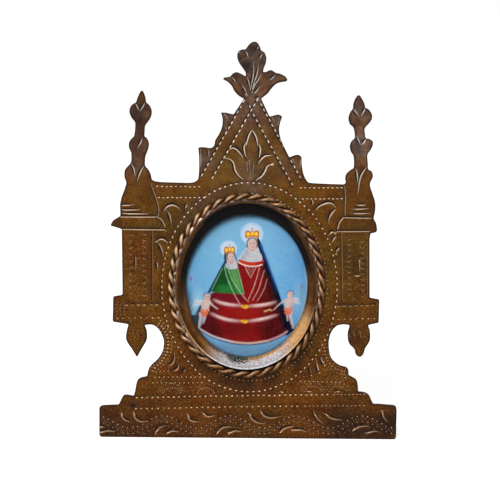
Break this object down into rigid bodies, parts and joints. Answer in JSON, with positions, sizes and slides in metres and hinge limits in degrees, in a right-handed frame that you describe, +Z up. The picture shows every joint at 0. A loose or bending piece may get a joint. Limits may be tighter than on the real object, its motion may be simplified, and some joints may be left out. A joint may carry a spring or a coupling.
{
  "type": "miniature altar",
  "caption": "Miniature altar: leaning chased brass plate in pointed-altarpiece outline, with a painted oval under glass in a rope-bordered bezel, standing on a hinged rear strut.",
  "frame": {"origin": "on the table, under the middle of the standing altar", "axes": "+Z up along the longest extent, the front towards -Y, +X to the right as seen from the front"},
  "size_m": [0.075, 0.0302, 0.0978],
  "materials": {
    "plate_brass": "aged, chased and punched",
    "setting_brass": "aged, turned",
    "wire_brass": "worn bright on the crests",
    "rear_brass": "dull, brushed",
    "clear_glass": "polished",
    "painted_enamel": "glossy painted enamel",
    "grey_board": "matte"
  },
  "bodies": {
    "altar": {"front_plate": "plate_brass", "bezel": "setting_brass", "rope_strand_a": "wire_brass", "rope_strand_b": "wire_brass", "glass": "clear_glass", "miniature": "painted_enamel", "backing_card": "grey_board", "rear_cover": "rear_brass", "retaining_tab_1": "rear_brass", "retaining_tab_2": "rear_brass", "retaining_tab_3": "rear_brass", "retaining_tab_4": "rear_brass", "hinge_bracket": "rear_brass", "bracket_rivet_1": "rear_brass", "bracket_rivet_2": "rear_brass", "hinge_pin": "rear_brass"},
    "strut_leg": {"strut": "rear_brass"}
  },
  "joints": [
    {"name": "strut_hinge", "type": "hinge", "parent": "altar", "child": "strut_leg", "pos_m": [0, 0.00282, 0.04731], "axis": [-1, 0, 0], "range_deg": [0, 26]}
  ]
}
